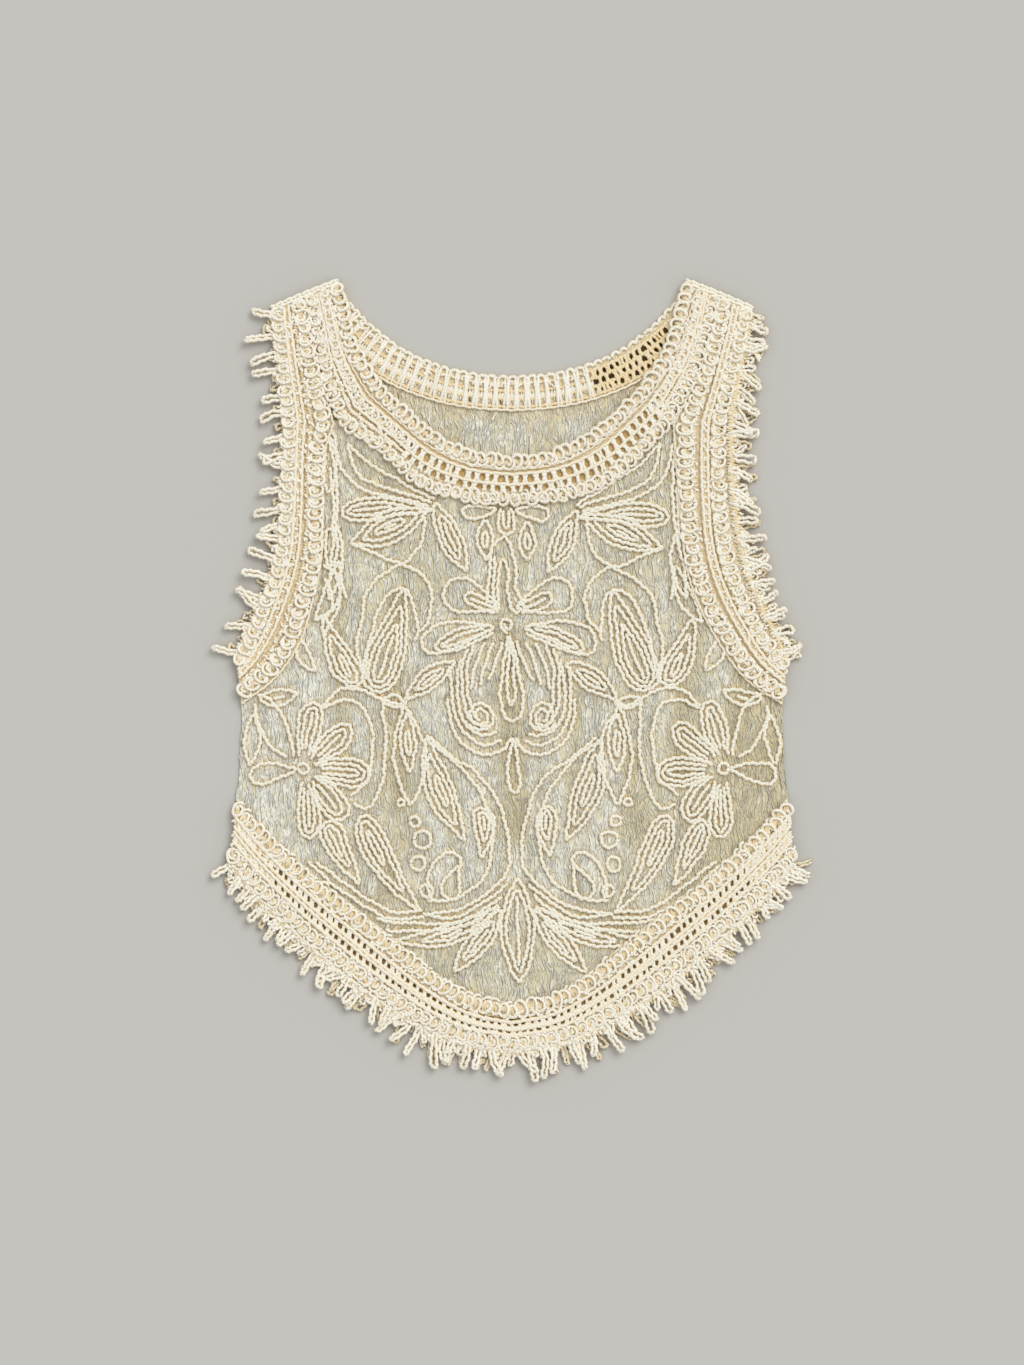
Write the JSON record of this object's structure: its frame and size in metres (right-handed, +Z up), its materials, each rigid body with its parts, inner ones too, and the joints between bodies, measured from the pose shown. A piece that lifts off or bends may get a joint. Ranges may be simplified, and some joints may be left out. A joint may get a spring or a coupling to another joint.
{
  "type": "crochet top",
  "caption": "Sleeveless cropped cotton gauze top laid flat, with crochet bands at the neck, armholes and dipped hem, looped fringe, and raised cord flowers and leaves on the front.",
  "frame": {"origin": "on the surface that the top lies on, under the middle of its outline", "axes": "+Y from the hem up to the shoulders, +Z up from the surface out of the front, +X to the right as seen from above, which is the wearer's left"},
  "size_m": [0.4486, 0.6054, 0.0078],
  "materials": {
    "gauze": "matte, crinkled cotton gauze, slightly see-through",
    "crochet": "matte cream cotton yarn"
  },
  "bodies": {
    "root": {"front_panel": "gauze", "back_panel": "gauze", "neckband_front": "crochet", "neckband_back": "crochet", "arm_band_front_right": "crochet", "arm_band_front_left": "crochet", "arm_band_back_right": "crochet", "arm_band_back_left": "crochet", "hem_band_front": "crochet", "hem_band_back": "crochet", "shoulder_seam_right": "crochet", "shoulder_seam_left": "crochet", "fringe_hem_front_right": "crochet", "fringe_hem_front_left": "crochet", "fringe_hem_back_right": "crochet", "fringe_hem_back_left": "crochet", "fringe_arm_front_right": "crochet", "fringe_arm_front_left": "crochet", "fringe_arm_back_right": "crochet", "fringe_arm_back_left": "crochet"}
  },
  "joints": []
}
